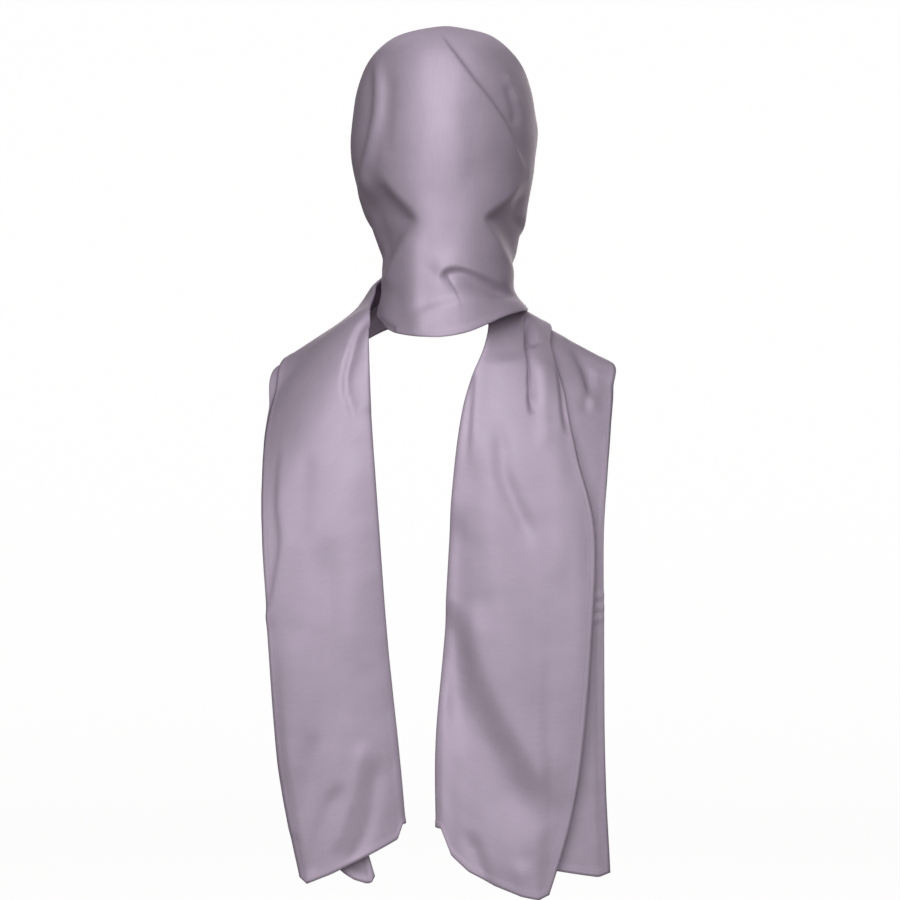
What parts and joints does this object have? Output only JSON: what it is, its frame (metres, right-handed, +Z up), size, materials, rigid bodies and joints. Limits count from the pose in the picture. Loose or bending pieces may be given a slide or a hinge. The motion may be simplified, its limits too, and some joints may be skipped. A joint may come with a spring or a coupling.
{
  "type": "hijab headscarf",
  "caption": "Satin headscarf drawn over the head and crossed under the chin, with both ends folded and thrown back over the shoulders.",
  "frame": {"origin": "where the cloth rests on the crown of the head", "axes": "+Z up, -Y towards the back of the head, +X to the wearer's right"},
  "size_m": [0.3504, 0.2035, 0.8582],
  "materials": {
    "satin": "pale mauve satin weave, soft sheen"
  },
  "bodies": {
    "root": {"head_drape": "satin", "left_stretch": "satin", "right_stretch": "satin"}
  },
  "joints": []
}
